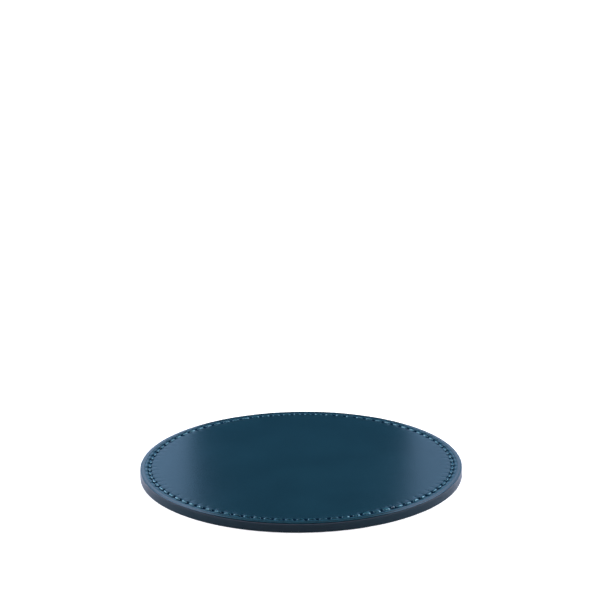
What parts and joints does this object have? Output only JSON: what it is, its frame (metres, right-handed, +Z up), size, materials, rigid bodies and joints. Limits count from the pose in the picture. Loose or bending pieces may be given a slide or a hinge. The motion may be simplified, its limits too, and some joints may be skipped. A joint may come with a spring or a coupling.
{
  "type": "drink coaster",
  "caption": "Thin round leather drink coaster: two leather faces on a core board, a lockstitched seam near the rim and a painted edge. A cup or tumbler stands on it.",
  "frame": {"origin": "centre of the underside, on the surface that the coaster lies on", "axes": "+Z up through the thickness, -Y towards the viewer of the picture, +X to the viewer's right"},
  "size_m": [0.1, 0.1, 0.0034],
  "materials": {
    "show_leather": "smooth, fine grain, semi-matt",
    "base_leather": "fine grain, matt",
    "core_board": "raw fibre board",
    "bond_glue": "dried contact glue",
    "seam_thread": "twisted polyester thread with a slight sheen",
    "edge_paint": "satin edge paint"
  },
  "bodies": {
    "root": {"top_leather": "show_leather", "upper_bond_film": "bond_glue", "core_board": "core_board", "lower_bond_film": "bond_glue", "base_leather": "base_leather", "needle_thread": "seam_thread", "bobbin_thread": "seam_thread", "edge_coat": "edge_paint"}
  },
  "joints": []
}
